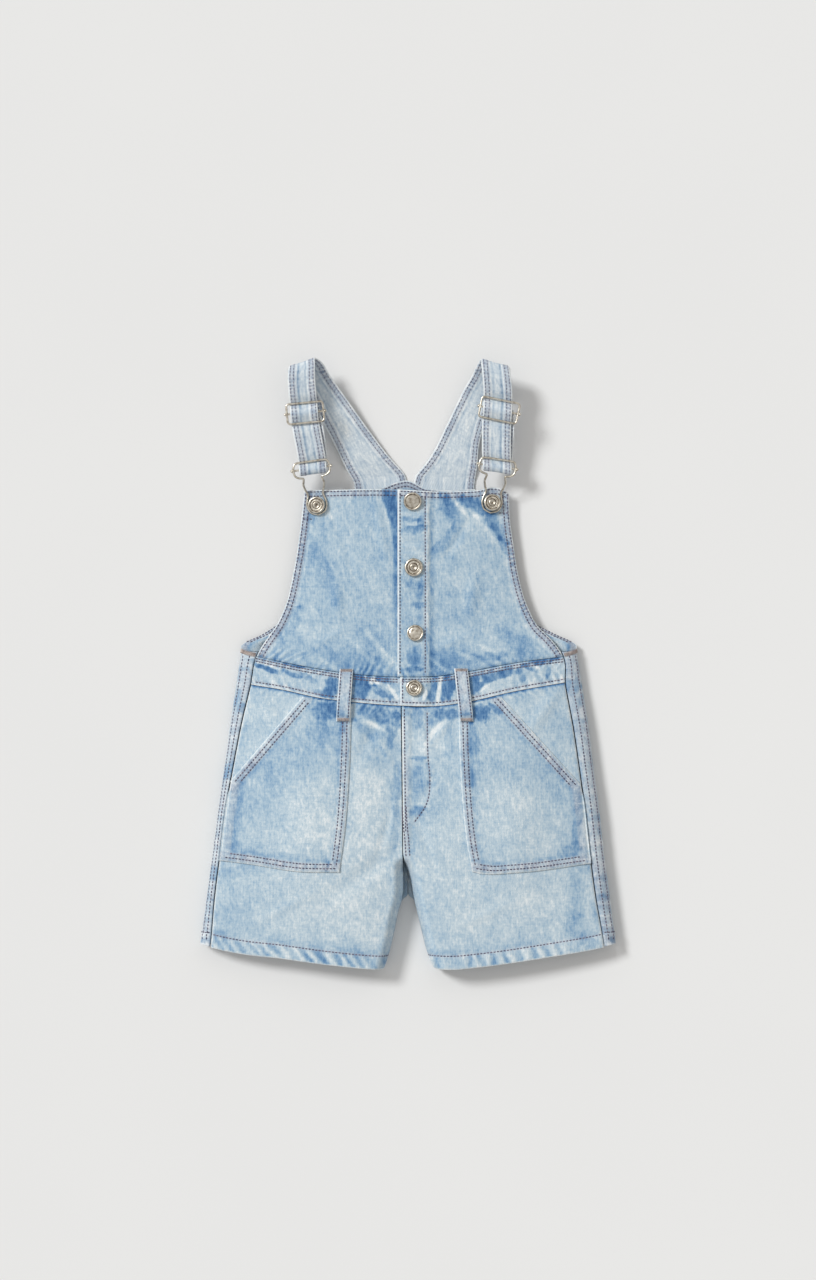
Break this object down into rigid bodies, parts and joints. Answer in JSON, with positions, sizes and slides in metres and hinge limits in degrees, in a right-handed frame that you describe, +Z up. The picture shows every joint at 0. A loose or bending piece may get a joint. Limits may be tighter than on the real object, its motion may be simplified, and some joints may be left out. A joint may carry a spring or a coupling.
{
  "type": "shortalls",
  "caption": "Child's light-wash denim shortalls lying flat on their back, with a buttoned bib, patch pockets, belt loops and hooked straps.",
  "frame": {"origin": "on the surface that the garment lies on, under the middle of its outline", "axes": "+X to the viewer's right across the front, +Y from the hems to the shoulders, +Z up out of the front"},
  "size_m": [0.3739, 0.549, 0.0348],
  "materials": {
    "denim": "washed light blue twill",
    "strap_denim": "washed pale grey-blue twill",
    "nickel": "worn warm nickel"
  },
  "bodies": {
    "root": {"front_leg_left": "denim", "front_leg_right": "denim", "back_leg_left": "denim", "back_leg_right": "denim", "bib_left": "denim", "bib_right": "denim", "back_bib": "denim", "waistband_left": "denim", "waistband_right": "denim", "pocket_left": "denim", "pocket_right": "denim", "belt_loop_left": "denim", "belt_loop_right": "denim", "strap_left": "strap_denim", "strap_right": "strap_denim", "slider_left": "nickel", "slider_right": "nickel", "bib_hook_left": "nickel", "bib_hook_right": "nickel", "bib_button_left": "nickel", "bib_button_right": "nickel", "placket_button_1": "nickel", "placket_button_2": "nickel", "placket_button_3": "nickel", "waist_button": "nickel"}
  },
  "joints": []
}
